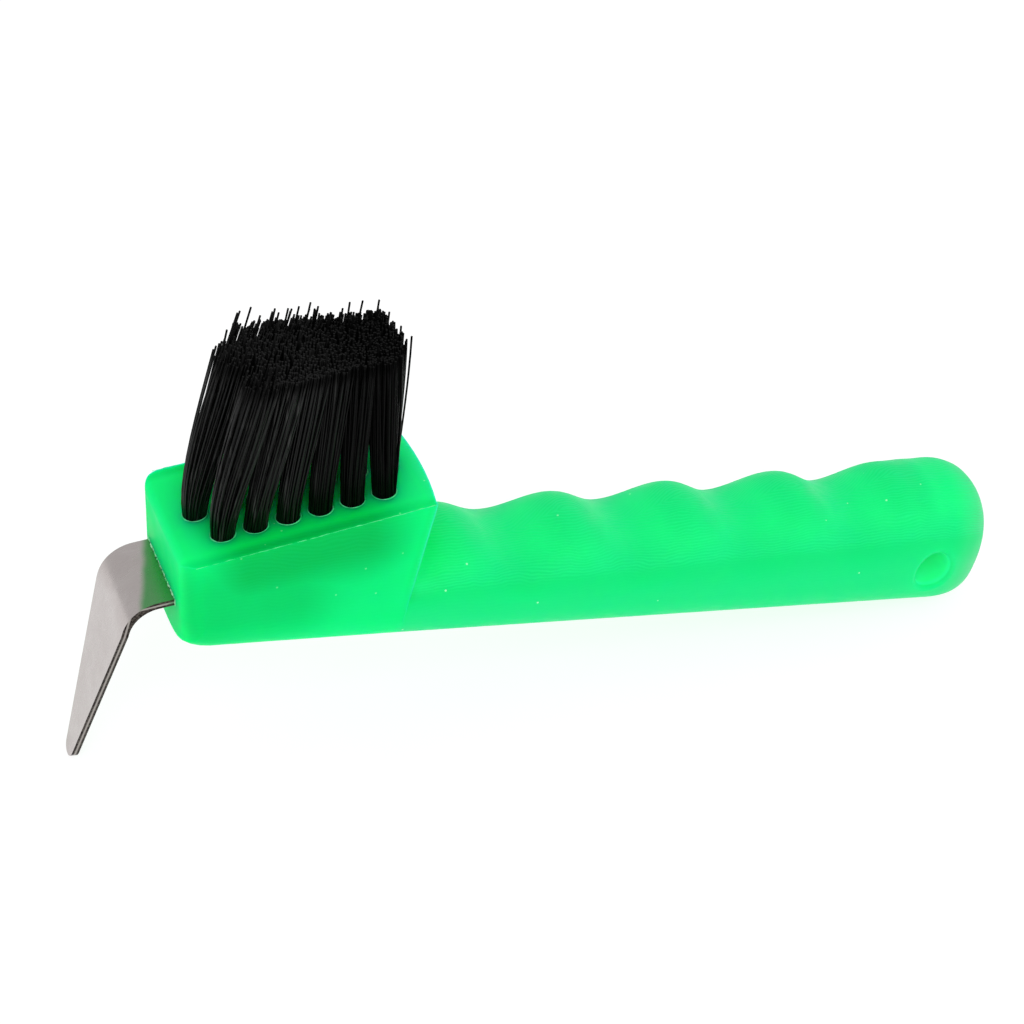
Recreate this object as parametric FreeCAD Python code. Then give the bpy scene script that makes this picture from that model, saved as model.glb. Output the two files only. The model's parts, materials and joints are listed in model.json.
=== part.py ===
import FreeCAD
import Part
import math
import os

# Hoof pick with a nylon brush.  Everything is drawn in the grip's own frame:
# X runs along the grip from the pick to the butt, Y across it, Z toward the brush,
# with the grip's underside on Z = 0.  stand_up() then turns the parts so that the
# pick tip and the heel of the grip touch the floor, the way it stands brush up.

# ---- driving dimensions, millimetres and degrees ----
HALF_WIDTH = 12.2            # grip and lower block, at their widest
UNDER_HEIGHT = 8.2           # underside curve ends here at the block ...
UNDER_HEIGHT_BUTT = 10.7     # ... and here at the butt
UNDER_EXPONENT = 2.8         # squareness of the underside curve
DOME_EXPONENT = 2.2          # squareness of the top curve

BLOCK_LEFT_TOP = -24.1       # left end of the block at the height of its top corner
BLOCK_LEFT_LOW = -20.4       # left end of the block at the underside
BLOCK_RIGHT = 16.4
BLOCK_RIGHT_BULGE = 1.1
BLOCK_TOP_LEFT = 19.6        # height of the brush face at its left edge
BLOCK_HALF_TOP = 12.6        # half width at the height of the left top corner
BLOCK_TAPER = 0.5            # the pick end is this much wider on each side
BLOCK_CORNER = 3.4           # upright corners at the pick end ...
BLOCK_CORNER_LOW = 5.5       # ... opening out to this at the underside
BLOCK_UNDER_ROUNDING = 5.5   # the underside curves up by this much at the pick end
NOSE_STEPS = 6
NOSE_OUTSIDE = 0.4           # that curve starts this share of the rounding beyond the end ...
NOSE_LENGTH = 1.2            # ... and takes this many roundings to level out
BLOCK_FACE_ROUNDING = 1.5
FACE_TILT = 15.8

CREST_AT_BLOCK = 16.95       # line through the tops of the finger grooves
CREST_AT_BUTT = 26.3
GROOVE_DEPTH = 4.0
GROOVE_PITCH = 22.6
GROOVE_COUNT = 4
FIRST_CREST = 26.75
BUTT_X = 138.4
BUTT_ROUNDING = 12.0
BUTT_EXPONENT = 2.6
BUTT_MIDDLE = 0.75           # the butt closes at this fraction of the widest height

HANG_X = 124.0
HANG_Z = 10.6
HANG_RADIUS = 3.6
HANG_MOUTH = 1.1

TUFT_PITCH = 5.4
ROW_SPACING = 6.55
TUFT_RADIUS = 2.0
TUFT_TIP_RADIUS = 1.9
HOLE_DEPTH = 8.0
FIRST_MIDDLE = 5.5           # first middle-row tuft, along the brush face
# each row: name, side, tufts, then X and Y of its first and last tips (the brush is worn askew)
BRUSH_ROWS = (
    ("front", -1, 6, (-15.4, 4.4), (-9.2, -5.6)),
    ("middle", 0, 7, (-17.6, 7.5), (-0.8, 0.0)),
    ("back", 1, 6, (-12.9, 6.9), (5.6, 5.4)),
)
TRIM_HEIGHT = 52.0           # height of the trimmed brush at TRIM_X ...
TRIM_X = -17.6
TRIM_SLOPE = 0.112           # ... and how it rises toward the butt

STAPLE_THICK = 0.4
STAPLE_WIDE = 4.8
STAPLE_TALL = 2.2
STAPLE_LIFT = 0.9

BLADE_THICK = 1.2
BLADE_HALF = 8.0
BLADE_SHIFT = 1.0
BLADE_RADIUS = 6.0
TANG_TILT = 14.0
LEG_TILT = 4.6
TANG_END = 4.0
CORNER_X = -28.8
CORNER_Z = 7.1
TIP_Z = -29.6
TIP_RADIUS = 2.0
TAPER_TOP = 2.0
KEY_RADIUS = 2.6
KEY_X = -6.0

STAND_ANGLE = 10.433

TILT = math.radians(FACE_TILT)
Y_AXIS = FreeCAD.Vector(0, 1, 0)
FACE_NORMAL = FreeCAD.Vector(-math.sin(TILT), 0, math.cos(TILT))
FACE_ALONG = FreeCAD.Vector(math.cos(TILT), 0, math.sin(TILT))


def vec(x, y, z):
    return FreeCAD.Vector(x, y, z)


def curve_through(points):
    curve = Part.BSplineCurve()
    curve.interpolate(points)
    return curve.toShape()


def half_oval(x, half, base, rise, exponent, first, last):
    """Superellipse half at station x, from angle first to angle last (degrees)."""
    points = []
    steps = 16
    for i in range(steps + 1):
        a = math.radians(first + (last - first) * i / steps)
        c = math.cos(a)
        s = math.sin(a)
        r = (abs(c) ** exponent + abs(s) ** exponent) ** (-1.0 / exponent)
        points.append(vec(x, half * r * c, base + rise * r * s))
    return curve_through(points)


def grip_fraction(x):
    return (x - BLOCK_RIGHT) / (BUTT_X - BLOCK_RIGHT)


def under_height(x):
    return UNDER_HEIGHT + (UNDER_HEIGHT_BUTT - UNDER_HEIGHT) * grip_fraction(x)


def top_height(x):
    crest = CREST_AT_BLOCK + (CREST_AT_BUTT - CREST_AT_BLOCK) * grip_fraction(x)
    along = min(x, FIRST_CREST + GROOVE_COUNT * GROOVE_PITCH) - FIRST_CREST
    wave = 1 - math.cos(2 * math.pi * along / GROOVE_PITCH)
    return crest - GROOVE_DEPTH * wave / 2


def grip_section(x, end_distance):
    """Closed oval at station x; end_distance 0..1 runs through the butt rounding."""
    shrink = (1 - end_distance ** BUTT_EXPONENT) ** (1 / BUTT_EXPONENT)
    widest = under_height(x)
    middle = BUTT_MIDDLE * widest
    centre = middle + (widest - middle) * shrink
    up = middle + (top_height(x) - middle) * shrink - centre
    down = centre - (middle - middle * shrink)
    half = HALF_WIDTH * shrink
    dome = half_oval(x, half, centre, up, DOME_EXPONENT, 0, 180)
    under = half_oval(x, half, centre, down, UNDER_EXPONENT, 180, 360)
    return Part.Wire([dome, under])


def make_grip():
    round_start = BUTT_X - BUTT_ROUNDING
    sections = []
    spacing = GROOVE_PITCH / 8
    count = int((round_start - BLOCK_RIGHT) / spacing)
    for i in range(count + 1):
        sections.append(grip_section(BLOCK_RIGHT + i * spacing, 0))
    for r in (0.12, 0.3, 0.48, 0.64, 0.77, 0.87, 0.94, 0.98, 0.995):
        sections.append(grip_section(round_start + BUTT_ROUNDING * r, r))
    return Part.makeLoft(sections, True, False)


def plan_outline(z):
    """Outline of the block seen from above at height z."""
    left = BLOCK_LEFT_LOW + (BLOCK_LEFT_TOP - BLOCK_LEFT_LOW) * z / BLOCK_TOP_LEFT
    draft = (BLOCK_HALF_TOP - HALF_WIDTH) / (BLOCK_TOP_LEFT - UNDER_HEIGHT)
    thin = HALF_WIDTH + draft * max(0.0, z - UNDER_HEIGHT)
    half = thin + BLOCK_TAPER
    opened = max(0.0, 1 - max(0.0, z) / UNDER_HEIGHT)
    r = BLOCK_CORNER + (BLOCK_CORNER_LOW - BLOCK_CORNER) * opened
    k = r * (1 - math.sqrt(0.5))
    right = BLOCK_RIGHT
    lines = [
        Part.makeLine(vec(left, half - r, z), vec(left, r - half, z)),
        Part.Arc(vec(left, r - half, z), vec(left + k, k - half, z),
                 vec(left + r, -half, z)).toShape(),
        Part.makeLine(vec(left + r, -half, z), vec(right, -thin, z)),
        Part.makeLine(vec(right, -thin, z), vec(right, thin, z)),
        Part.makeLine(vec(right, thin, z), vec(left + r, half, z)),
        Part.Arc(vec(left + r, half, z), vec(left + k, half - k, z),
                 vec(left, half - r, z)).toShape(),
    ]
    return Part.Wire(lines)


def trough_section(x, half, rise, exponent):
    """Underside curve with splayed sides above it, at station x."""
    under = half_oval(x, half, UNDER_HEIGHT, rise, exponent, 180, 360)
    wide = BLOCK_HALF_TOP + 6
    high = 45.0
    rim = [
        vec(x, half, UNDER_HEIGHT),
        vec(x, wide, high),
        vec(x, -wide, high),
        vec(x, -half, UNDER_HEIGHT),
    ]
    return Part.Wire([under] + [Part.makeLine(a, b) for a, b in zip(rim, rim[1:])])


def make_block():
    levels = (0.0, UNDER_HEIGHT, 40.0)
    walls = Part.makeLoft([plan_outline(z) for z in levels], True, True)
    block = walls.common(make_trough()).cut(above_face())
    down_wall = vec(BLOCK_LEFT_LOW - BLOCK_LEFT_TOP, 0, -BLOCK_TOP_LEFT).normalize()
    high = vec(BLOCK_LEFT_TOP, 0, BLOCK_TOP_LEFT)
    return block.cut(rounding_waste(high, FACE_ALONG, down_wall, BLOCK_FACE_ROUNDING)).Solids[0]


def make_trough():
    """The block's underside, which curves up at the pick end."""
    half = HALF_WIDTH + BLOCK_TAPER
    start = BLOCK_LEFT_LOW - NOSE_OUTSIDE * BLOCK_UNDER_ROUNDING
    sections = [trough_section(BLOCK_LEFT_TOP - 1, half, UNDER_HEIGHT - BLOCK_UNDER_ROUNDING,
                               DOME_EXPONENT)]
    for i in range(NOSE_STEPS + 1):
        a = math.pi / 2 * i / NOSE_STEPS
        x = start + NOSE_LENGTH * BLOCK_UNDER_ROUNDING * (1 - math.cos(a))
        rise = UNDER_HEIGHT - BLOCK_UNDER_ROUNDING * (1 - math.sin(a))
        exponent = DOME_EXPONENT + (UNDER_EXPONENT - DOME_EXPONENT) * math.sin(a)
        sections.append(trough_section(x, half, rise, exponent))
    sections.append(trough_section(BLOCK_RIGHT, HALF_WIDTH, UNDER_HEIGHT, UNDER_EXPONENT))
    return Part.makeLoft(sections, True, True)


def above_face():
    """Everything above the slanted brush face."""
    slab = Part.makeBox(120, 80, 60, vec(-60, -40, 0))
    slab.rotate(vec(0, 0, 0), Y_AXIS, -FACE_TILT)
    slab.translate(face_point(0, 0))
    return slab


def face_point(along, across):
    """Point on the brush face, measured from the middle of its left edge."""
    corner = vec(BLOCK_LEFT_TOP, across, BLOCK_TOP_LEFT)
    return corner + FACE_ALONG * along


def rounding_waste(corner, one, other, r):
    """What to cut away to round an edge along Y; one and other run along its two faces."""
    half_angle = math.acos(one.dot(other)) / 2
    middle = (one + other).normalize()
    centre = corner + middle * (r / math.sin(half_angle))
    reach = r / math.tan(half_angle)
    past = 1.6  # the waste reaches past the corner by this factor
    rim = [corner + one * reach, corner, corner + other * reach]
    points = [centre] + [centre + (p - centre) * past for p in rim] + [centre]
    waste = Part.Face(Part.makePolygon(points))
    waste.translate(vec(0, -2 * BLOCK_HALF_TOP, 0))
    waste = waste.extrude(vec(0, 4 * BLOCK_HALF_TOP, 0))
    start = centre - Y_AXIS * (2 * BLOCK_HALF_TOP)
    return waste.cut(Part.makeCylinder(r, 4 * BLOCK_HALF_TOP, start, Y_AXIS))


def make_bulge():
    """Shallow swelling of the block's end wall above the grip."""
    chord = BLOCK_HALF_TOP - 0.3
    low = UNDER_HEIGHT - 2
    arc = Part.Arc(vec(BLOCK_RIGHT, -chord, low), vec(BLOCK_RIGHT + BLOCK_RIGHT_BULGE, 0, low),
                   vec(BLOCK_RIGHT, chord, low)).toShape()
    back = Part.makeLine(vec(BLOCK_RIGHT, chord, low), vec(BLOCK_RIGHT, -chord, low))
    slab = Part.Face(Part.Wire([arc, back])).extrude(vec(0, 0, 40))
    return slab.cut(above_face()).Solids[0]


def make_body():
    block = make_block().fuse(make_bulge()).Solids[0]
    return block.fuse(make_grip()).Solids[0]


def hang_hole(body):
    bore = Part.makeCylinder(HANG_RADIUS, 60, vec(HANG_X, -30, HANG_Z), Y_AXIS)
    drilled = body.cut(bore).Solids[0]
    mouths = []
    for edge in drilled.Edges:
        points = edge.discretize(5)
        off_wall = [abs(math.hypot(p.x - HANG_X, p.z - HANG_Z) - HANG_RADIUS) for p in points]
        spread = max(p.y for p in points) - min(p.y for p in points)
        if max(off_wall) < 0.05 and spread < 3:
            mouths.append(edge)
    return drilled.makeFillet(HANG_MOUTH, mouths)


def rows():
    """Label, distance along the face, distance across, tip X and tip Y of every tuft."""
    out = []
    for name, side, count, tips_x, tips_y in BRUSH_ROWS:
        first = FIRST_MIDDLE + abs(side) * TUFT_PITCH / 2
        for i in range(count):
            part_way = i / (count - 1)
            tip_x = tips_x[0] + (tips_x[1] - tips_x[0]) * part_way
            tip_y = tips_y[0] + (tips_y[1] - tips_y[0]) * part_way
            label = "%s_%d" % (name, i + 1)
            out.append((label, first + i * TUFT_PITCH, side * ROW_SPACING, tip_x, tip_y))
    return out


def ring(centre, radius, normal):
    return Part.Wire(Part.Circle(centre, normal, radius).toShape())


def tip_point(x, y):
    return vec(x, y, TRIM_HEIGHT + TRIM_SLOPE * (x - TRIM_X))


def make_tuft(along, across, tip_x, tip_y):
    foot = face_point(along, across)
    root = Part.makeCylinder(TUFT_RADIUS, HOLE_DEPTH, foot - FACE_NORMAL * HOLE_DEPTH, FACE_NORMAL)
    trim = vec(-TRIM_SLOPE, 0, 1)
    trim.normalize()
    brush = Part.makeLoft([ring(foot, TUFT_RADIUS, FACE_NORMAL),
                           ring(tip_point(tip_x, tip_y), TUFT_TIP_RADIUS, trim)], True, True)
    return root.fuse(brush).removeSplitter()


def make_hole(along, across):
    foot = face_point(along, across)
    deep = foot - FACE_NORMAL * HOLE_DEPTH
    return Part.makeCylinder(TUFT_RADIUS, HOLE_DEPTH + 2, deep, FACE_NORMAL)


def make_staple(along, across):
    """Flat wire anchor near the bottom of a hole; its ends bite into the plastic."""
    plate = Part.makeBox(STAPLE_THICK, STAPLE_WIDE, STAPLE_TALL,
                         vec(-STAPLE_THICK / 2, -STAPLE_WIDE / 2, 0))
    plate.rotate(vec(0, 0, 0), Y_AXIS, -FACE_TILT)
    plate.translate(face_point(along, across) - FACE_NORMAL * (HOLE_DEPTH - STAPLE_LIFT))
    return plate


def direction(angle):
    """Unit vector in the XZ plane, angle measured from +X toward +Z."""
    a = math.radians(angle)
    return vec(math.cos(a), 0, math.sin(a))


def blade_profile():
    """Bent strip seen from the side; the corner is rounded about BLADE_RADIUS."""
    tang = direction(TANG_TILT)
    leg = direction(-90 - LEG_TILT)
    corner = vec(CORNER_X, 0, CORNER_Z)
    reach = (TANG_END - CORNER_X) / tang.x
    drop = (CORNER_Z - TIP_Z) / -leg.z
    tang_side = vec(-tang.z, 0, tang.x)
    leg_side = vec(leg.z, 0, -leg.x)
    bisector = (tang + leg).normalize()
    half_turn = math.acos(max(-1.0, min(1.0, tang.dot(leg)))) / 2
    centre = corner + bisector * (BLADE_RADIUS / math.sin(half_turn))
    start = corner + tang * (BLADE_RADIUS / math.tan(half_turn))
    end = corner + leg * (BLADE_RADIUS / math.tan(half_turn))
    rim = []
    for side in (1, -1):
        off = side * BLADE_THICK / 2
        radius = BLADE_RADIUS + off
        rim.append((corner + tang * reach + tang_side * off, start + tang_side * off,
                    centre - bisector * radius, end + leg_side * off,
                    corner + leg * drop + leg_side * off))
    outer, inner = rim
    edges = [
        Part.makeLine(outer[0], outer[1]),
        Part.Arc(outer[1], outer[2], outer[3]).toShape(),
        Part.makeLine(outer[3], outer[4]),
        Part.makeLine(outer[4], inner[4]),
        Part.makeLine(inner[4], inner[3]),
        Part.Arc(inner[3], inner[2], inner[1]).toShape(),
        Part.makeLine(inner[1], inner[0]),
        Part.makeLine(inner[0], outer[0]),
    ]
    return Part.Face(Part.Wire(edges))


def blade_front():
    """Outline of the strip seen along X: full width above, tapered to a round tip."""
    x = CORNER_X - 20
    r = TIP_RADIUS
    taper = math.atan2(BLADE_HALF - r, TAPER_TOP - TIP_Z - r)
    side_y = r * math.cos(taper)
    side_z = TIP_Z + r - r * math.sin(taper)
    top = 40.0
    edges = [
        Part.makeLine(vec(x, -BLADE_HALF, top), vec(x, -BLADE_HALF, TAPER_TOP)),
        Part.makeLine(vec(x, -BLADE_HALF, TAPER_TOP), vec(x, -side_y, side_z)),
        Part.Arc(vec(x, -side_y, side_z), vec(x, 0, TIP_Z), vec(x, side_y, side_z)).toShape(),
        Part.makeLine(vec(x, side_y, side_z), vec(x, BLADE_HALF, TAPER_TOP)),
        Part.makeLine(vec(x, BLADE_HALF, TAPER_TOP), vec(x, BLADE_HALF, top)),
        Part.makeLine(vec(x, BLADE_HALF, top), vec(x, -BLADE_HALF, top)),
    ]
    return Part.Face(Part.Wire(edges))


def make_blade():
    profile = blade_profile()
    profile.translate(vec(0, -BLADE_HALF - 1, 0))
    strip = profile.extrude(vec(0, 2 * BLADE_HALF + 2, 0))
    outline = blade_front().extrude(vec(80, 0, 0))
    blade = strip.common(outline)
    key = Part.makeCylinder(KEY_RADIUS, 60, vec(KEY_X, 0, -20))
    blade = blade.cut(key).Solids[0]
    blade.translate(vec(0, BLADE_SHIFT, 0))
    return blade


def make_parts():
    blade = make_blade()
    tufts = rows()
    staples = {label: make_staple(a, c) for label, a, c, tx, ty in tufts}
    handle = hang_hole(make_body())
    handle = handle.cut(blade)
    handle = handle.cut(Part.makeCompound([make_hole(a, c) for label, a, c, tx, ty in tufts]))
    handle = handle.cut(Part.makeCompound(list(staples.values())))
    parts = {"handle": handle, "pick_blade": blade}
    for label, a, c, tx, ty in tufts:
        parts["tuft_" + label] = make_tuft(a, c, tx, ty).cut(staples[label])
        parts["staple_" + label] = staples[label]
    return parts


def stand_up(parts):
    """Turn from the grip's frame to standing on pick tip and heel, centred on Z = 0."""
    for shape in parts.values():
        shape.rotate(vec(0, 0, 0), Y_AXIS, STAND_ANGLE)
    boxes = [shape.optimalBoundingBox(False) for shape in parts.values()]
    low = min(box.ZMin for box in boxes)
    x = (min(box.XMin for box in boxes) + max(box.XMax for box in boxes)) / 2
    y = (min(box.YMin for box in boxes) + max(box.YMax for box in boxes)) / 2
    for shape in parts.values():
        shape.translate(vec(-x, -y, -low))
    return vec(-x, -y, -low)


def main():
    parts = make_parts()
    shift = stand_up(parts)
    print("shift", shift)
    os.makedirs("parts", exist_ok=True)
    for name, shape in parts.items():
        solids = shape.Solids
        print("%-18s solids %d valid %s" % (name, len(solids), shape.isValid()))
        solids[0].exportStep("parts/" + name + ".step")


if __name__ == "__main__":
    main()
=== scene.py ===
import bpy
import json
import math
import random
from mathutils import Matrix, Vector


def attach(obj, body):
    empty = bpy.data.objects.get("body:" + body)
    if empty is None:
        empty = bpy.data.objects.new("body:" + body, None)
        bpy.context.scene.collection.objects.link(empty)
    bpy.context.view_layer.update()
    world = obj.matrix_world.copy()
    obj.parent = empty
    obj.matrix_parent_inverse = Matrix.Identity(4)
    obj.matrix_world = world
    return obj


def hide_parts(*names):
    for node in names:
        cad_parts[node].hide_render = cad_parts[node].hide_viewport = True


# A green plastic hoof pick with a steel blade and nineteen tufts of black nylon.
# The handle, blade and staples are the CAD's own; each CAD tuft is replaced by separate filaments.
# Places are given in the grip's frame, +X along the grip and +Z toward the brush. The grip is tilted
# to stand on the floor, so to_row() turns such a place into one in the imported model's frame.

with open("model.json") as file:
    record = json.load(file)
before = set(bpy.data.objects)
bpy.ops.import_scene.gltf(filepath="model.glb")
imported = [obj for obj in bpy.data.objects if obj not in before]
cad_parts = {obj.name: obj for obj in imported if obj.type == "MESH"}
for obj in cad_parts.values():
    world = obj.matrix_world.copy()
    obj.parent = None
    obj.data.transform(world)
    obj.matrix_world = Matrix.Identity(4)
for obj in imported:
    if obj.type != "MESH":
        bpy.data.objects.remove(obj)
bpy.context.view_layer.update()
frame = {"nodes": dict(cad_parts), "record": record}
rng = random.Random(358)

MM = 0.001

# ---- how the part stands: the grip is turned about Y, then shifted (see the record's frame) ----
STAND = math.radians(10.433)
GRIP_SHIFT = Vector((-50.665, 0.0, 23.479)) * MM
FACE_TILT = math.radians(15.8)
FACE_CORNER = Vector((-24.1, 0.0, 19.6)) * MM      # left edge of the brush face
TANG_TILT = math.radians(14.0)
LEG_TILT = math.radians(4.6)
BLADE_CORNER = Vector((-28.8, 0.0, 7.1)) * MM      # where the blade's two flats would meet

# ---- the grip's surface ----
GRIP_START = (15.0 * MM, 18.0 * MM)                # the block's colour turns into the grip's here
HALF_WIDTH = 12.2 * MM
CREASE_LEAN = 0.87             # the crease lies on a plane that leans in by this much
CREASE_HEIGHT = 11.76 * MM     # soft crease along the grip, drawn only as painted shade, at X = 0 ...
CREASE_RISE = 0.0574           # ... and its slope
FIRST_CREST = 26.75 * MM       # swellings between the finger grooves
GROOVE_PITCH = 22.6 * MM
DOME_HEIGHT = 9.0 * MM         # the grooves' painted light and shade is full this far above the crease
BUTT_START = (126.0 * MM, 136.0 * MM)
MOUTH_WIDTH = 0.35 * MM        # the hang hole's rounded mouth
LINE_PITCH = 0.66 * MM         # mould lines; they wander this far ...
LINE_SWAY = 3.4 * MM           # ... in broad waves
LINE_SHAKE = 0.9 * MM          # ... and in fine ones

# ---- the block's surface ----
SIDE_START = (10.0 * MM, 12.4 * MM)                # |Y| where the brush face turns into the sides
CORNER_RISE = (14.8 * MM, 16.4 * MM)               # corners beside the grip, painted darker as shade: X going up ...
CORNER_FALL = (17.6 * MM, 16.6 * MM)               # ... and X going down
CORNER_SIDE = (11.0 * MM, 12.0 * MM)
CORNER_HEIGHT = (10.0 * MM, 16.0 * MM)
DEEP_END = (16.6 * MM, 13.0 * MM)                  # nothing inside shades the plastic beyond this X
TUFTS_INSIDE = ((20.5, 9.5), (0.0, 9.5), (-2.0, 2.0))      # mm from FACE_CORNER: (middle, half) ...
TUFTS_REACH = 11.0 * MM        # the plastic is shaded this far from them ...
TUFTS_SHADE = 0.95             # ... and at most this much
TANG_INSIDE = ((16.0, 9.0), (0.0, 9.0), (1.5, 2.0))        # ... and mm from BLADE_CORNER
TANG_REACH = 13.0 * MM
TANG_SHADE = 0.52

# ---- where flash is ----
EDGE_START = 2.0 * MM          # along the brush face
EDGE_END = 42.0 * MM
EDGE_HALF_LEFT = 13.08 * MM
EDGE_HALF_RIGHT = 13.0 * MM
WALL_X = 16.45 * MM            # the wall where the grip begins
WALL_HIGH = 30.6 * MM
WALL_LOW = 11.0 * MM
WALL_HALF_HIGH = 12.98 * MM
WALL_HALF_LOW = 12.3 * MM
LIP_STEPS = 36                 # sections in the lip round a tuft's hole ...
EDGE_STEPS = 160               # ... along an edge of the brush face ...
WALL_STEPS = 60                # ... and down the wall
SLOT_X = -22.2 * MM
SLOT_Z = 9.45 * MM             # upper side of the blade where it enters the block
SLOT_NEAR = -7.0 * MM          # the slot's two ends
SLOT_FAR = 9.0 * MM
SLOT_CRUMBS = 26
CRUMB_RINGS = 4                # steps from a crumb's bottom to its top
REFLECTION_LEAST = 0.9 * MM          # width of the green reflection painted beside the slot at its far end ...
REFLECTION_SPREAD = 0.28             # ... and how fast it widens toward the near end

# ---- bristles ----
FILAMENT_RADIUS = 0.18 * MM
FILAMENT_SPACING = 0.395 * MM
HOLE_RADIUS = 2.0 * MM
HOLE_DEPTH = 8.0 * MM
FOOT_GAP = 0.2 * MM            # filaments start this far above the hole's bottom
SIDES = 6                      # corners in a filament's, bead's or crumb's section
RINGS = 11                     # sections along a filament
REACH_ALONG = 2.2 * MM         # a tuft's filaments spread this far from its middle at the tip ...
REACH_END = 3.6 * MM           # ... and this far at the left end of the brush
REACH_ACROSS = {               # ... and this far toward the near side and toward the far side
    "front": (1.9 * MM, 4.3 * MM),
    "middle": (4.0 * MM, 4.4 * MM),
    "back": (3.4 * MM, 1.9 * MM),
}
END_BOW = 1.4 * MM             # filaments at the left end bow out this far
TRIM_HEIGHT = 53.97 * MM       # the trimmed ends' height at X = 0 ...
TRIM_RISE = 0.112              # ... and how it rises with X
STRAY_SIDES = {"middle_1": -1, "middle_7": 1, "front_6": 1}    # tufts with stray filaments

# ---- colours, linear ----
BLOCK_GREENS = ((0.0012, 0.75, 0.186, 1), (0.0024, 0.79, 0.204, 1))
FACE_PAINTED_LIGHT = (0.006, 0.95, 0.240, 1)               # the brush face, painted lighter as light falls on it ...
FACE_PAINTED_SHADE = (0.0004, 0.80, 0.098, 1)         # ... and the same, painted darker among the tufts as shade from the bristles inside
SIDE_PAINTED_SHADE = (0.0003, 0.38, 0.053, 1)         # the block's sides, painted darker in front of the tang as its shade inside
GRIP_GREEN = (0.0030, 0.725, 0.218, 1)
# the grip above the crease, painted lighter as light through the thinner plastic of the grooves
GROOVE_PAINTED_LIGHT = (0.006, 0.86, 0.240, 1)
# the swellings between the grooves, painted darker as shade in the thicker plastic
CREST_PAINTED_SHADE = (0.0040, 0.765, 0.212, 1)
# the block's rear corners beside the grip, painted darker as shade
CORNER_PAINTED_SHADE = (0.0006, 0.58, 0.100, 1)
JOINT_PAINTED_LIGHT = (0.016, 1.0, 0.36, 1)                # top of the grip beside the block, painted lighter against the shade there
# the butt end, paler as a painted highlight
BUTT_PAINTED_HIGHLIGHT = (0.120, 0.58, 0.255, 1)
# painted shade just below the crease
CREASE_PAINTED_SHADE = (0.0012, 0.68, 0.175, 1)
LINE_GREEN = (0.016, 0.85, 0.290, 1)
SPECK_GREEN = (0.50, 0.95, 0.62, 1)
# the hang hole's wall, painted lighter as light through the plastic
BORE_PAINTED_LIGHT = (0.018, 0.80, 0.330, 1)
BORE_GLOW = (0.05, 0.85, 0.32, 1)
FLASH_GREEN = (0.010, 0.78, 0.20, 1)
FLASH_PALE = (0.10, 0.85, 0.32, 1)
CRUMB_PALE = (0.42, 0.84, 0.50, 1)
STEELS = ((0.50, 0.455, 0.445, 1), (0.55, 0.51, 0.50, 1))
STEEL_GRAIN = (0.40, 0.36, 0.35, 1)
# a green reflection of the block, painted on the tang
STEEL_PAINTED_REFLECTION = (0.035, 0.300, 0.065, 1)
BURRS = ((0.012, 0.009, 0.008, 1), (0.10, 0.085, 0.075, 1))
BURR_MIDDLE = (0.42, 0.38, 0.36, 1)
NYLONS = ((0.0008, 0.0008, 0.0008, 1), (0.0020, 0.0020, 0.0021, 1))
# sheen painted into the filaments' colour as streaks
NYLON_PAINTED_SHEEN = (0.024, 0.024, 0.0235, 1)
# painted shade on the filaments near their cut ends
NYLON_PAINTED_SHADE = (0.0012, 0.0012, 0.0012, 1)
# paler cut ends: partly their own matte cut, partly painted light from above
NYLON_END = (0.009, 0.009, 0.009, 1)
WIRES = ((0.40, 0.38, 0.36, 1), (0.58, 0.56, 0.54, 1))
WHITE = (1, 1, 1, 1)

# ---- studio and camera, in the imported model's frame ----
FLOOR_HALF = 4.0
FLOOR_GLOW = 0.78              # the floor is a light table, as for a cut-out product picture
SKY_STRENGTH = 0.74
LIGHT_AIM = (0, 0, 0.03)
KEY_SPOT = (-0.45, -1.0, 1.1)
KEY_SIZE = 0.8
KEY_POWER = 6.8
FILL_SPOT = (0.5, -1.0, 1.1)
FILL_SIZE = 1.0
FILL_POWER = 2.8
CAMERA_SPOT = Vector((-0.13873, -0.26781, 0.26772))
CAMERA_AIM = Vector((-0.00947, 0.0, 0.03525))
CAMERA_ROLL = math.radians(5.642)
LENS = 77.34
SENSOR_WIDTH = 36.0
CLIP_START = 0.01


def to_row(point):
    """Turn a place in the grip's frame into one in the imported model's."""
    return Matrix.Rotation(STAND, 3, "Y") @ Vector(point) + GRIP_SHIFT


def face_axes():
    """Directions along the brush face and out of it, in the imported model's frame."""
    tilt = FACE_TILT - STAND
    along = Vector((math.cos(tilt), 0.0, math.sin(tilt)))
    out = Vector((-math.sin(tilt), 0.0, math.cos(tilt)))
    return along, out


def face_step(along, across):
    """A step on the brush face, in the grip's frame."""
    return Vector((along * math.cos(FACE_TILT), across, along * math.sin(FACE_TILT)))


# ------------------------------------------------------------------ materials

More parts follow.
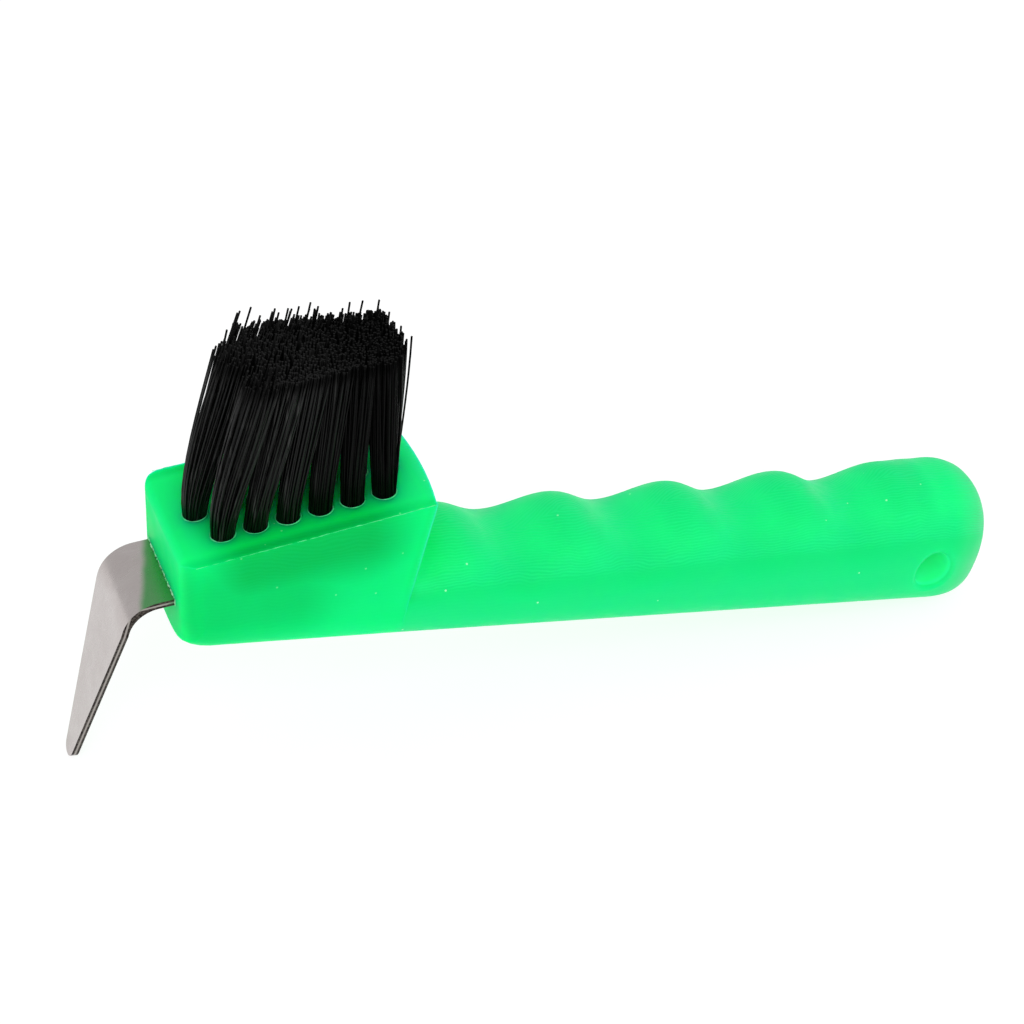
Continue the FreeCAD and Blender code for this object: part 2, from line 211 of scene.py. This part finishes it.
class Tree:
    """Short ways to build a material's nodes."""

    def __init__(self, name):
        self.material = bpy.data.materials.new(name)
        self.material.use_nodes = True
        self.nodes = self.material.node_tree.nodes
        self.links = self.material.node_tree.links
        self.shader = self.nodes["Principled BSDF"]

    def put(self, socket, value):
        if isinstance(value, bpy.types.NodeSocket):
            self.links.new(value, socket)
        else:
            socket.default_value = value

    def shade(self, **values):
        for name, value in values.items():
            self.put(self.shader.inputs[name.replace("_", " ")], value)

    def where(self):
        return self.nodes.new("ShaderNodeTexCoord").outputs["Object"]

    def frame(self, angle, origin):
        """Coordinates in a frame turned by angle about Y; origin is a place in the model's frame."""
        node = self.nodes.new("ShaderNodeMapping")
        node.inputs["Rotation"].default_value = (0, -angle, 0)
        node.inputs["Location"].default_value = -(Matrix.Rotation(-angle, 3, "Y") @ origin)
        self.links.new(self.where(), node.inputs["Vector"])
        return node.outputs["Vector"]

    def stretch(self, vector, scale):
        node = self.nodes.new("ShaderNodeMapping")
        node.inputs["Scale"].default_value = scale
        self.links.new(vector, node.inputs["Vector"])
        return node.outputs["Vector"]

    def split(self, vector):
        node = self.nodes.new("ShaderNodeSeparateXYZ")
        self.links.new(vector, node.inputs[0])
        return node.outputs[0], node.outputs[1], node.outputs[2]

    def normal(self):
        return self.split(self.nodes.new("ShaderNodeTexCoord").outputs["Normal"])

    def math(self, operation, a, b=0.0):
        node = self.nodes.new("ShaderNodeMath")
        node.operation = operation
        self.put(node.inputs[0], a)
        self.put(node.inputs[1], b)
        return node.outputs[0]

    def times(self, first, *others):
        """All the factors multiplied together."""
        for other in others:
            first = self.math("MULTIPLY", first, other)
        return first

    def absolute(self, value):
        return self.math("ABSOLUTE", value)

    def ramp(self, value, low, high, out_low=0.0, out_high=1.0):
        """Smooth step from out_low at low to out_high at high; low may be the larger of the two."""
        node = self.nodes.new("ShaderNodeMapRange")
        node.interpolation_type = "SMOOTHSTEP"
        self.put(node.inputs["Value"], value)
        node.inputs["From Min"].default_value = low
        node.inputs["From Max"].default_value = high
        node.inputs["To Min"].default_value = out_low
        node.inputs["To Max"].default_value = out_high
        return node.outputs["Result"]

    def noise(self, vector, scale, detail=2.0, roughness=0.5):
        node = self.nodes.new("ShaderNodeTexNoise")
        self.links.new(vector, node.inputs["Vector"])
        node.inputs["Scale"].default_value = scale
        node.inputs["Detail"].default_value = detail
        node.inputs["Roughness"].default_value = roughness
        return node.outputs["Fac"]

    def shake(self, vector, scale, detail, width):
        """Noise around zero, about width from its lowest to its highest."""
        return self.times(self.math("SUBTRACT", self.noise(vector, scale, detail), 0.5), width)

    def mix(self, factor, a, b):
        node = self.nodes.new("ShaderNodeMix")
        node.data_type = "RGBA"
        self.put(node.inputs["Factor"], factor)
        self.put(node.inputs["A"], a)
        self.put(node.inputs["B"], b)
        return node.outputs["Result"]

    def bump(self, height, distance, under=None):
        node = self.nodes.new("ShaderNodeBump")
        node.inputs["Distance"].default_value = distance
        node.inputs["Strength"].default_value = 1.0
        self.links.new(height, node.inputs["Height"])
        if under is not None:
            self.links.new(under, node.inputs["Normal"])
        return node.outputs["Normal"]


class GripPlace:
    """Where a point of the handle is in the grip's frame, as node outputs."""

    def __init__(self, t):
        self.place = t.frame(STAND, GRIP_SHIFT)
        self.x, self.y, self.z = t.split(self.place)
        self.above = above_crease(t, self.x, self.y, self.z)
        self.on_grip = t.ramp(self.x, *GRIP_START)


def above_crease(t, x, y, z):
    """Distance up the grip's side from its soft crease, the same on both sides."""
    level = t.math("ADD", t.times(x, CREASE_RISE), CREASE_HEIGHT)
    inward = t.math("SUBTRACT", HALF_WIDTH, t.absolute(y))
    climb = t.math("ADD", z, t.times(inward, CREASE_LEAN))
    return t.math("SUBTRACT", climb, level)


def closeness(t, angle, origin, box, reach):
    """1 in the plastic next to a box, falling to 0 at reach; box is (middle, half) along X, Y and Z."""
    total = None
    for value, (middle, half) in zip(t.split(t.frame(angle, to_row(origin))), box):
        off = t.absolute(t.math("SUBTRACT", value, middle * MM))
        off = t.math("MAXIMUM", t.math("SUBTRACT", off, half * MM), 0.0)
        square = t.times(off, off)
        total = square if total is None else t.math("ADD", total, square)
    return t.ramp(t.math("SQRT", total), reach, 0.0)


def shaded_inside(t, g):
    """Where black bristles and the steel tang inside the block take light out of the plastic."""
    tufts = closeness(t, STAND - FACE_TILT, FACE_CORNER, TUFTS_INSIDE, TUFTS_REACH)
    tang = closeness(t, STAND - TANG_TILT, BLADE_CORNER, TANG_INSIDE, TANG_REACH)
    both = t.math("MAXIMUM", t.times(tufts, TUFTS_SHADE), t.times(tang, TANG_SHADE))
    return t.times(both, t.ramp(g.x, *DEEP_END))


def block_colour(t, g):
    """The block: faint clouds, a brush face painted lighter, and painted shade in front of what is
    inside.
    """
    clouds = t.mix(t.ramp(t.noise(g.place, scale=60.0, detail=3.0), 0.3, 0.7), *BLOCK_GREENS)
    side = t.ramp(t.absolute(g.y), *SIDE_START)
    plain = t.mix(side, FACE_PAINTED_LIGHT, clouds)
    painted_shade = t.mix(side, FACE_PAINTED_SHADE, SIDE_PAINTED_SHADE)
    return t.mix(shaded_inside(t, g), plain, painted_shade)


def finger_crests(t, g):
    """1 on the swellings between the finger grooves, 0 in the grooves and below the crease."""
    turn = t.times(t.math("SUBTRACT", g.x, FIRST_CREST), 2 * math.pi / GROOVE_PITCH)
    wave = t.ramp(t.math("COSINE", turn), -0.3, 0.9)
    return t.times(wave, t.ramp(g.above, 1.0 * MM, DOME_HEIGHT))


def block_corners(t, g):
    """1 along the block's upright corners beside the grip."""
    along = t.times(t.ramp(g.x, *CORNER_RISE), t.ramp(g.x, *CORNER_FALL))
    return t.times(along, t.ramp(t.absolute(g.y), *CORNER_SIDE), t.ramp(g.z, *CORNER_HEIGHT))


def shade_below_crease(t, g):
    """1 at the crease, fading down the grip's side; painted shade is laid along it."""
    rise = t.ramp(g.above, -8.0 * MM, -0.9 * MM)
    fall = t.ramp(g.above, 1.6 * MM, -1.0 * MM)
    return t.times(rise, fall, g.on_grip)


def hang_hole():
    """The hang hole's centre in the grip's frame and its radius, from the record's mount."""
    mount = next(m for m in frame["record"]["mounts"] if m["name"] == "hang_hole")
    centre = Matrix.Rotation(-STAND, 3, "Y") @ (Vector(mount["pos_m"]) - GRIP_SHIFT)
    return centre, mount["dims"]["r_mm"] * MM


def in_bore(t, g):
    """1 on the wall of the hang hole."""
    centre, radius = hang_hole()
    dx = t.math("SUBTRACT", g.x, centre.x)
    dz = t.math("SUBTRACT", g.z, centre.z)
    away = t.math("ADD", t.times(dx, dx), t.times(dz, dz))
    return t.ramp(t.math("SQRT", away), radius + MOUTH_WIDTH, radius)


def mould_lines(t, g, upper):
    """Fine wandering lines left by the mould, faint below the crease and on the block."""
    sway = t.shake(g.place, scale=95.0, detail=2.0, width=LINE_SWAY)
    fine = t.shake(g.place, scale=420.0, detail=1.0, width=LINE_SHAKE)
    total = t.math("ADD", g.above, t.math("ADD", sway, fine))
    wave = t.math("SINE", t.times(total, 2 * math.pi / LINE_PITCH))
    lines = t.math("ADD", t.times(wave, 0.5), 0.5)
    return t.times(lines, t.ramp(upper, 0.0, 1.0, 0.12, 1.0))


def pale_specks(t, g):
    """A few small pale specks, strong on the grip and faint on the block."""
    specks = t.nodes.new("ShaderNodeTexVoronoi")
    specks.inputs["Scale"].default_value = 290.0
    t.links.new(g.place, specks.inputs["Vector"])
    speck = t.ramp(specks.outputs["Distance"], 0.065, 0.035)
    pick = t.split(specks.outputs["Color"])[0]
    speck = t.times(speck, t.ramp(pick, 0.58, 0.60))
    return t.times(speck, t.ramp(g.on_grip, 0.0, 1.0, 0.25, 0.85))


def handle_colour(t, g, upper, lines, bore_light):
    """The plastic's colour, with its painted light and shade, from the large areas to the small marks.
    """
    groove_light = t.times(t.ramp(g.above, 0.0, DOME_HEIGHT), g.on_grip)
    joint_light = t.times(t.ramp(g.x, 23.0 * MM, 17.0 * MM), upper)
    butt_highlight = t.ramp(g.x, *BUTT_START)
    colour = t.mix(g.on_grip, block_colour(t, g), GRIP_GREEN)
    # painted light above the crease, strongest in the grooves
    colour = t.mix(groove_light, colour, GROOVE_PAINTED_LIGHT)
    # painted shade on the crests
    colour = t.mix(t.times(finger_crests(t, g), g.on_grip), colour, CREST_PAINTED_SHADE)
    # painted shade at the block's rear corners
    colour = t.mix(t.times(block_corners(t, g), 0.6), colour, CORNER_PAINTED_SHADE)
    # painted light on the grip's top beside the block
    colour = t.mix(t.times(joint_light, 0.6), colour, JOINT_PAINTED_LIGHT)
    # painted highlight on the butt
    colour = t.mix(t.times(butt_highlight, 0.7), colour, BUTT_PAINTED_HIGHLIGHT)
    # painted shade below the crease
    colour = t.mix(t.times(shade_below_crease(t, g), 0.42), colour, CREASE_PAINTED_SHADE)
    colour = t.mix(t.times(lines, 0.42), colour, LINE_GREEN)
    colour = t.mix(pale_specks(t, g), colour, SPECK_GREEN)
    # painted light on the hang hole's wall
    return t.mix(bore_light, colour, BORE_PAINTED_LIGHT)


def green_plastic():
    t = Tree("green_plastic")
    g = GripPlace(t)
    upper = t.times(t.ramp(g.above, -2.2 * MM, 1.6 * MM), g.on_grip)
    lines = mould_lines(t, g, upper)
    bore_light = in_bore(t, g)
    grain = t.bump(t.noise(g.place, scale=1500.0, detail=2.0), distance=0.008 * MM)
    rough = t.ramp(t.noise(g.place, scale=220.0, detail=4.0), 0.3, 0.7, 0.38, 0.52)
    t.shade(Base_Color=handle_colour(t, g, upper, lines, bore_light), Roughness=rough)
    t.shade(Normal=t.bump(lines, distance=0.03 * MM, under=grain))
    # painted glow inside the hang hole, as light through the plastic
    t.shade(Emission_Color=BORE_GLOW, Emission_Strength=t.times(bore_light, 0.16))
    t.shade(Subsurface_Weight=1.0, Subsurface_Scale=6.0 * MM, Subsurface_Radius=(0.2, 1.0, 0.4))
    t.shade(IOR=1.46, Specular_IOR_Level=t.ramp(g.on_grip, 0.0, 1.0, 0.03, 0.09))
    return t.material


def pale_flash(name, palest):
    """Thin moulding flash, patched with a paler green."""
    t = Tree(name)
    place = t.where()
    patch = t.noise(place, scale=700.0, detail=3.0)
    colour = t.mix(t.ramp(patch, 0.35, 0.65), FLASH_GREEN, palest)
    rough = t.ramp(t.noise(place, scale=1500.0, detail=2.0), 0.3, 0.7, 0.40, 0.60)
    t.shade(Base_Color=colour, Roughness=rough, Normal=t.bump(patch, distance=0.03 * MM))
    t.shade(Subsurface_Weight=0.3, Subsurface_Scale=0.6 * MM, Subsurface_Radius=(0.5, 1.0, 0.6))
    return t.material


def slot_reflection(t, up, smear):
    """The block's green painted on the upper side of the tang as its reflection, widening toward the
    near side.
    """
    x, y, z = t.split(t.frame(STAND, GRIP_SHIFT))
    away = t.math("SUBTRACT", SLOT_X, x)
    width = t.times(t.math("SUBTRACT", SLOT_FAR, y), REFLECTION_SPREAD)
    width = t.math("ADD", width, REFLECTION_LEAST)
    ragged = t.times(t.math("SUBTRACT", smear, 0.5), 1.6 * MM)
    inside = t.math("SUBTRACT", t.math("ADD", width, ragged), away)
    return t.times(t.ramp(inside, -0.6 * MM, 0.9 * MM, 0.0, 0.85), t.ramp(up, 0.7, 0.9))


def mid_thickness(t):
    """1 along the middle of the blade's cut edges."""
    origin = to_row(BLADE_CORNER)
    tang = t.split(t.frame(STAND - TANG_TILT, origin))[2]
    leg = t.split(t.frame(STAND + LEG_TILT, origin))[0]
    off = t.math("MINIMUM", t.absolute(tang), t.absolute(leg))
    return t.ramp(off, 0.24 * MM, 0.08 * MM)


def satin_steel():
    """Brushed plate with torn, sheared edges."""
    t = Tree("satin_steel")
    place = t.where()
    across, up = t.normal()[1:]
    edge = t.ramp(t.absolute(across), 0.45, 0.65)
    grain = t.noise(t.stretch(place, (1.0, 6.0, 0.5)), scale=900.0, detail=4.0, roughness=0.7)
    smear = t.noise(place, scale=120.0, detail=4.0)
    torn = t.noise(place, scale=2600.0, detail=3.0)
    colour = t.mix(t.ramp(smear, 0.3, 0.75), *STEELS)
    colour = t.mix(t.ramp(grain, 0.35, 0.65, 0.0, 0.25), colour, STEEL_GRAIN)
    # painted reflection of the block's green
    colour = t.mix(slot_reflection(t, up, smear), colour, STEEL_PAINTED_REFLECTION)
    burr = t.mix(t.ramp(torn, 0.35, 0.7), *BURRS)
    burr = t.mix(t.times(mid_thickness(t), 0.8), burr, BURR_MIDDLE)
    rough = t.ramp(t.noise(place, scale=350.0, detail=4.0), 0.3, 0.7, 0.22, 0.32)
    height = t.math("ADD", grain, t.times(torn, edge, 8.0))
    t.shade(Base_Color=t.mix(edge, colour, burr), Roughness=rough, Metallic=1.0)
    t.shade(Normal=t.bump(height, distance=0.006 * MM))
    return t.material


def black_nylon():
    """Filaments: streaks of sheen painted into the colour, as light from the left that fades toward the
    right, with painted shade near the cut ends; the cut ends are paler, partly their own matte cut and
    partly painted light from above.
    """
    t = Tree("black_nylon")
    place = t.where()
    x, y, z = t.split(t.frame(STAND, GRIP_SHIFT))
    fleck = t.noise(place, scale=1800.0, detail=2.0)
    sheen_streak = t.ramp(t.noise(t.stretch(place, (1.0, 1.0, 0.04)), scale=1500.0, detail=1.0), 0.56, 0.72)
    # painted light from the left: the sheen fades toward the right
    lit = t.ramp(x, 4.0 * MM, -12.0 * MM, 0.1, 1.0)
    trim = t.math("SUBTRACT", z, t.times(x, TRIM_RISE))
    # painted shade near the cut ends
    painted_shade = t.ramp(trim, TRIM_HEIGHT - 0.5 * MM, TRIM_HEIGHT - 2.6 * MM, 0.30, 1.0)
    # cut ends facing up: partly their own matte cut, partly painted light from above
    cut_end = t.ramp(t.normal()[2], 0.85, 0.95)
    colour = t.mix(t.ramp(fleck, 0.35, 0.7), *NYLONS)
    colour = t.mix(t.times(sheen_streak, lit), colour, NYLON_PAINTED_SHEEN)
    colour = t.mix(painted_shade, NYLON_PAINTED_SHADE, colour)
    t.shade(Base_Color=t.mix(cut_end, colour, NYLON_END), Normal=t.bump(fleck, distance=0.004 * MM))
    t.shade(Roughness=t.ramp(sheen_streak, 0.0, 1.0, 0.30, 0.45))
    t.shade(Specular_IOR_Level=t.times(t.ramp(lit, 0.0, 1.0, 0.05, 0.17), painted_shade))
    return t.material


def staple_wire():
    t = Tree("staple_wire")
    place = t.where()
    drawn = t.noise(t.stretch(place, (1.0, 0.1, 1.0)), scale=4000.0, detail=3.0)
    colour = t.mix(t.ramp(drawn, 0.3, 0.7), *WIRES)
    rough = t.ramp(drawn, 0.3, 0.7, 0.30, 0.45)
    t.shade(Base_Color=colour, Roughness=rough, Normal=t.bump(drawn, distance=0.004 * MM), Metallic=1.0)
    return t.material


def floor_paint():
    t = Tree("floor_paint")
    shade = t.ramp(t.noise(t.where(), scale=40.0, detail=3.0), 0.3, 0.7, 0.28, 0.29)
    paint = t.nodes.new("ShaderNodeCombineColor")
    for socket in paint.inputs[:3]:
        t.links.new(shade, socket)
    t.shade(Base_Color=paint.outputs[0], Roughness=0.9, Specular_IOR_Level=0.1)
    t.shade(Emission_Color=WHITE, Emission_Strength=FLOOR_GLOW)
    return t.material


def wear(node, material):
    mesh = node.data
    mesh.materials.clear()
    mesh.materials.append(material)


# ------------------------------------------------------------------ bristles

def disc_centre(points):
    lows = [min(p[i] for p in points) for i in range(3)]
    highs = [max(p[i] for p in points) for i in range(3)]
    return (Vector(lows) + Vector(highs)) / 2


def tuft_ends(node):
    """Centre of a CAD tuft's foot, at the bottom of its hole, and of its trimmed tip."""
    points = [v.co.copy() for v in node.data.vertices]
    low = min(p.z for p in points)
    high = max(p.z for p in points)
    foot = disc_centre([p for p in points if p.z < low + 0.5 * MM])
    tip = disc_centre([p for p in points if p.z > high - 0.4 * MM])
    return foot, tip


def packed_spots():
    """Offsets of filaments packed in a hole, as fractions of its radius."""
    spots = []
    reach = HOLE_RADIUS - FILAMENT_RADIUS
    count = int(reach / FILAMENT_SPACING) + 1
    for row in range(-count - 1, count + 2):
        for column in range(-count - 1, count + 2):
            x = (column + 0.5 * (row % 2)) * FILAMENT_SPACING
            y = row * FILAMENT_SPACING * math.sqrt(0.75)
            if math.hypot(x, y) <= reach:
                spots.append((x / reach, y / reach))
    return spots


def shaken_spot(u, v, turn):
    """A packed spot turned and shaken a little, still inside the hole."""
    a = u * math.cos(turn) - v * math.sin(turn) + rng.gauss(0, 0.02)
    b = u * math.sin(turn) + v * math.cos(turn) + rng.gauss(0, 0.02)
    size = max(1.0, math.hypot(a, b))
    return a / size, b / size


def add_tube(vertices, faces, path, radius):
    """A closed tube of SIDES sides along the path."""
    start = len(vertices)
    side = Vector((0.0, 1.0, 0.0))
    for i, point in enumerate(path):
        ahead = path[min(i + 1, len(path) - 1)] - path[max(i - 1, 0)]
        across = ahead.cross(side).normalized()
        other = ahead.cross(across).normalized()
        for k in range(SIDES):
            a = 2 * math.pi * k / SIDES
            vertices.append(point + (across * math.cos(a) + other * math.sin(a)) * radius)
    for i in range(len(path) - 1):
        for k in range(SIDES):
            a = start + i * SIDES + k
            b = start + i * SIDES + (k + 1) % SIDES
            faces.append((a, b, b + SIDES, a + SIDES))
    end = start + (len(path) - 1) * SIDES
    add_caps(faces, start, end)


def add_caps(faces, start, end):
    """Close a tube's two ends, given the first point of its first and last section."""
    faces.append(tuple(start + k for k in reversed(range(SIDES))))
    faces.append(tuple(end + k for k in range(SIDES)))


def bezier(a, b, c, d, t):
    u = 1 - t
    return a * u ** 3 + b * (3 * u * u * t) + c * (3 * u * t * t) + d * t ** 3


def filament_path(foot, face, tip, lean, bulge):
    """From the hole's bottom out of the face, then on to the tip in a shallow curve."""
    out = (face - foot).normalized()
    length = (tip - face).length
    go = (tip - face).normalized()
    start = (out * 0.4 + go * 0.6).normalized()
    arrive = (go * 0.92 + out * 0.08 - lean).normalized()
    first = face + start * length * 0.22 + bulge
    second = tip - arrive * length * 0.4 + bulge
    steps = RINGS - 2
    return [foot, face] + [bezier(face, first, second, tip, i / steps) for i in range(1, steps + 1)]


def stray_push(side, a):
    """A few filaments at the brush's two ends stand away from it, toward side."""
    if a * side > 0.75 and rng.random() < 0.25:
        return side * rng.uniform(0.4, 1.4) * MM
    return 0.0


def trim_error(row, number):
    """How far a filament's end is from the trim plane."""
    error = rng.gauss(0, 0.13) * MM
    longer = 0.10 if row == "back" or number == "1" else 0.008
    if rng.random() < longer:
        error += rng.uniform(0.8, 3.2) * MM
    return error


def tuft_filament(row, number, foot, tip, a, b):
    """One filament's path; a and b are its place in the tuft, along and across the brush face."""
    along, out = face_axes()
    hole = HOLE_RADIUS - FILAMENT_RADIUS
    at_end = number == "1" and a < 0
    near_reach, far_reach = REACH_ACROSS[row]
    low = foot + along * (a * hole) + Vector((0, b * hole, 0)) + out * FOOT_GAP
    face = low + out * (HOLE_DEPTH - FOOT_GAP)
    push = stray_push(STRAY_SIDES.get(row + "_" + number, 0), a)
    shift_a = (REACH_END if at_end else REACH_ALONG) * a + rng.gauss(0, 0.25) * MM + push
    shift_b = (far_reach if b > 0 else near_reach) * b + rng.gauss(0, 0.3) * MM
    high = tip + Vector((shift_a, shift_b, 0)) + out * trim_error(row, number)
    lean = Vector((rng.gauss(0, 0.03), rng.gauss(0, 0.03), 0))
    bow = END_BOW * a if at_end else 0.0
    return filament_path(low, face, high, lean, along * (push * 0.5 + bow))


def make_tuft(node, row, number):
    """About eighty filaments that fill a CAD tuft's hole and fan out toward its tip."""
    foot, tip = tuft_ends(node)
    vertices = []
    faces = []
    turn = rng.uniform(0, math.pi)
    for u, v in packed_spots():
        a, b = shaken_spot(u, v, turn)
        add_tube(vertices, faces, tuft_filament(row, number, foot, tip, a, b), FILAMENT_RADIUS)
    mesh = bpy.data.meshes.new("filaments")
    mesh.from_pydata(vertices, [], faces)
    mesh.update()
    mesh.polygons.foreach_set("use_smooth", [len(p.vertices) == 4 for p in mesh.polygons])
    return bpy.data.objects.new("filaments_" + row + "_" + number, mesh)


def tuft_names():
    return sorted(name for name in frame["nodes"] if name.startswith("tuft_"))


def make_bristles(material):
    for node_name in tuft_names():
        row, number = node_name.split("_")[1:]
        piece = make_tuft(frame["nodes"][node_name], row, number)
        piece.data.materials.append(material)
        bpy.context.scene.collection.objects.link(piece)
        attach(piece, "root")
        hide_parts(node_name)


# ------------------------------------------------------------------ moulding flash

def add_piece(name, vertices, faces, material):
    """A smooth piece of the handle's plastic."""
    mesh = bpy.data.meshes.new(name)
    mesh.from_pydata(vertices, [], faces)
    mesh.update()
    mesh.polygons.foreach_set("use_smooth", [True] * len(mesh.polygons))
    piece = bpy.data.objects.new(name, mesh)
    piece.data.materials.append(material)
    bpy.context.scene.collection.objects.link(piece)
    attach(piece, "root")


def wander(count, low, high):
    """Smoothly varying random lengths between low and high mm, one for each of count places."""
    knots = [rng.uniform(low, high) for _ in range(max(3, count // 3))]
    values = []
    for i in range(count):
        t = i / count * len(knots)
        k = int(t)
        f = t - k
        f = f * f * (3 - 2 * f)
        values.append((knots[k % len(knots)] * (1 - f) + knots[(k + 1) % len(knots)] * f) * MM)
    return values


def add_bead(vertices, faces, centres, radii, first, second, closed):
    """A closed bead of varying radius along centres; first and second give its section's plane."""
    start = len(vertices)
    count = len(centres)
    for centre, radius, u, v in zip(centres, radii, first, second):
        for k in range(SIDES):
            a = 2 * math.pi * k / SIDES
            vertices.append(centre + (u * math.cos(a) + v * math.sin(a)) * radius)
    for i in range(count if closed else count - 1):
        here = start + i * SIDES
        there = start + (i + 1) % count * SIDES
        for k in range(SIDES):
            n = (k + 1) % SIDES
            faces.append((here + k, here + n, there + n, there + k))
    if not closed:
        add_caps(faces, start, start + (count - 1) * SIDES)


def make_hole_lips(material):
    """A thin raised lip round each tuft's hole."""
    along, out = face_axes()
    across = Vector((0, 1, 0))
    vertices = []
    faces = []
    for name in tuft_names():
        centre = tuft_ends(frame["nodes"][name])[0] + out * HOLE_DEPTH
        turns = [2 * math.pi * i / LIP_STEPS for i in range(LIP_STEPS)]
        radials = [along * math.cos(a) + across * math.sin(a) for a in turns]
        radii = wander(LIP_STEPS, 0.05, 0.13)
        centres = [centre + r * (HOLE_RADIUS + 0.06 * MM) for r in radials]
        add_bead(vertices, faces, centres, radii, radials, [out] * LIP_STEPS, True)
    add_piece("hole_lips", vertices, faces, material)


def add_line_bead(vertices, faces, a, b, low, high, count):
    """A straight ragged bead from a to b, between low and high mm in radius."""
    direction = (b - a).normalized()
    u = direction.cross(Vector((0, 1, 0))).normalized()
    v = direction.cross(u).normalized()
    radii = wander(count, low, high)
    shake = wander(count, -0.05, 0.05)
    centres = [a + (b - a) * (i / (count - 1)) + u * shake[i] for i in range(count)]
    add_bead(vertices, faces, centres, radii, [u] * count, [v] * count, False)


def make_edge_flash(material):
    """Flash along the brush face's long edges."""
    vertices = []
    faces = []
    for side in (-1, 1):
        left = to_row(FACE_CORNER + face_step(EDGE_START, side * EDGE_HALF_LEFT))
        right = to_row(FACE_CORNER + face_step(EDGE_END, side * EDGE_HALF_RIGHT))
        add_line_bead(vertices, faces, left, right, 0.005, 0.07, EDGE_STEPS)
    add_piece("edge_flash", vertices, faces, material)


def make_wall_ridge(material):
    """A faint ridge down the wall where the grip begins."""
    vertices = []
    faces = []
    for side in (-1, 1):
        high = to_row((WALL_X, side * WALL_HALF_HIGH, WALL_HIGH))
        low = to_row((WALL_X, side * WALL_HALF_LOW, WALL_LOW))
        add_line_bead(vertices, faces, high, low, 0.02, 0.045, WALL_STEPS)
    add_piece("wall_ridge", vertices, faces, material)


def add_crumb(vertices, faces, centre, size):
    """A small closed, faceted crumb."""
    start = len(vertices)
    vertices.append(centre + Vector((0, 0, -size.z)))
    for i in range(1, CRUMB_RINGS):
        a = math.pi * i / CRUMB_RINGS
        for k in range(SIDES):
            b = 2 * math.pi * k / SIDES
            bump = rng.uniform(0.7, 1.25)
            vertices.append(centre + Vector((
                size.x * math.sin(a) * math.cos(b) * bump,
                size.y * math.sin(a) * math.sin(b) * bump,
                -size.z * math.cos(a))))
    vertices.append(centre + Vector((0, 0, size.z)))
    top = len(vertices) - 1
    last = start + 1 + (CRUMB_RINGS - 2) * SIDES
    for k in range(SIDES):
        n = (k + 1) % SIDES
        faces.append((start, start + 1 + n, start + 1 + k))
        for i in range(CRUMB_RINGS - 2):
            low = start + 1 + i * SIDES
            high = low + SIDES
            faces.append((low + k, low + n, high + n, high + k))
        faces.append((last + k, last + n, top))


def make_slot_flash(material):
    """Crumbs of plastic squeezed out along the blade's slot, and two flakes beside its near end."""
    vertices = []
    faces = []
    for i in range(SLOT_CRUMBS):
        y = SLOT_NEAR + (SLOT_FAR - SLOT_NEAR) * (i + rng.uniform(0.1, 0.9)) / SLOT_CRUMBS
        place = (SLOT_X, y, SLOT_Z + rng.uniform(0.0, 0.25) * MM)
        size = Vector((rng.uniform(0.1, 0.25), rng.uniform(0.15, 0.5), rng.uniform(0.1, 0.3)))
        add_crumb(vertices, faces, to_row(place), size * MM)
    slot_end = Vector((SLOT_X, SLOT_NEAR, SLOT_Z))
    flakes = (((0.25, -0.35, -0.5), (0.3, 0.45, 0.9)), ((0.8, -1.9, -1.6), (0.3, 0.4, 1.3)))
    for offset, size in flakes:
        add_crumb(vertices, faces, to_row(slot_end + Vector(offset) * MM), Vector(size) * MM)
    add_piece("slot_flash", vertices, faces, material)


# ------------------------------------------------------------------ studio

def make_floor():
    half = FLOOR_HALF
    mesh = bpy.data.meshes.new("studio_floor")
    corners = [(-half, -half, 0), (half, -half, 0), (half, half, 0), (-half, half, 0)]
    mesh.from_pydata(corners, [], [(0, 1, 2, 3)])
    floor = bpy.data.objects.new("studio_floor", mesh)
    floor.data.materials.append(floor_paint())
    bpy.context.scene.collection.objects.link(floor)


def soft_light(name, spot, size, power):
    light = bpy.data.lights.new(name, "AREA")
    light.shape = "SQUARE"
    light.size = size
    light.energy = power
    lamp = bpy.data.objects.new(name, light)
    lamp.location = spot
    lamp.rotation_euler = (Vector(LIGHT_AIM) - Vector(spot)).to_track_quat("-Z", "Y").to_euler()
    bpy.context.scene.collection.objects.link(lamp)


def make_studio():
    world = bpy.data.worlds.new("studio_world")
    world.use_nodes = True
    background = world.node_tree.nodes["Background"]
    background.inputs["Color"].default_value = WHITE
    background.inputs["Strength"].default_value = SKY_STRENGTH
    bpy.context.scene.world = world
    bpy.context.scene.view_settings.view_transform = "Standard"
    soft_light("key", KEY_SPOT, KEY_SIZE, KEY_POWER)
    soft_light("fill", FILL_SPOT, FILL_SIZE, FILL_POWER)
    make_floor()


def make_camera():
    data = bpy.data.cameras.new("camera")
    data.lens = LENS
    data.sensor_width = SENSOR_WIDTH
    data.clip_start = CLIP_START
    camera = bpy.data.objects.new("camera", data)
    look = (CAMERA_AIM - CAMERA_SPOT).to_track_quat("-Z", "Y").to_matrix()
    turn = look @ Matrix.Rotation(CAMERA_ROLL, 3, "Z")
    camera.location = CAMERA_SPOT
    camera.rotation_euler = turn.to_euler()
    bpy.context.scene.collection.objects.link(camera)
    bpy.context.scene.camera = camera


# ------------------------------------------------------------------ put together

def dress_frame(plastic, nylon):
    """Materials on the CAD's own nodes; the tufts are hidden, but are given theirs too."""
    steel = satin_steel()
    wire = staple_wire()
    wear(frame["nodes"]["handle"], plastic)
    wear(frame["nodes"]["pick_blade"], steel)
    for name, node in frame["nodes"].items():
        if name.startswith("staple_"):
            wear(node, wire)
        if name.startswith("tuft_"):
            wear(node, nylon)


def main():
    plastic = green_plastic()
    nylon = black_nylon()
    flash = pale_flash("pale_flash", FLASH_PALE)
    dress_frame(plastic, nylon)
    make_bristles(nylon)
    make_hole_lips(flash)
    make_edge_flash(flash)
    make_wall_ridge(plastic)
    make_slot_flash(pale_flash("pale_crumb", CRUMB_PALE))
    make_studio()
    make_camera()


main()
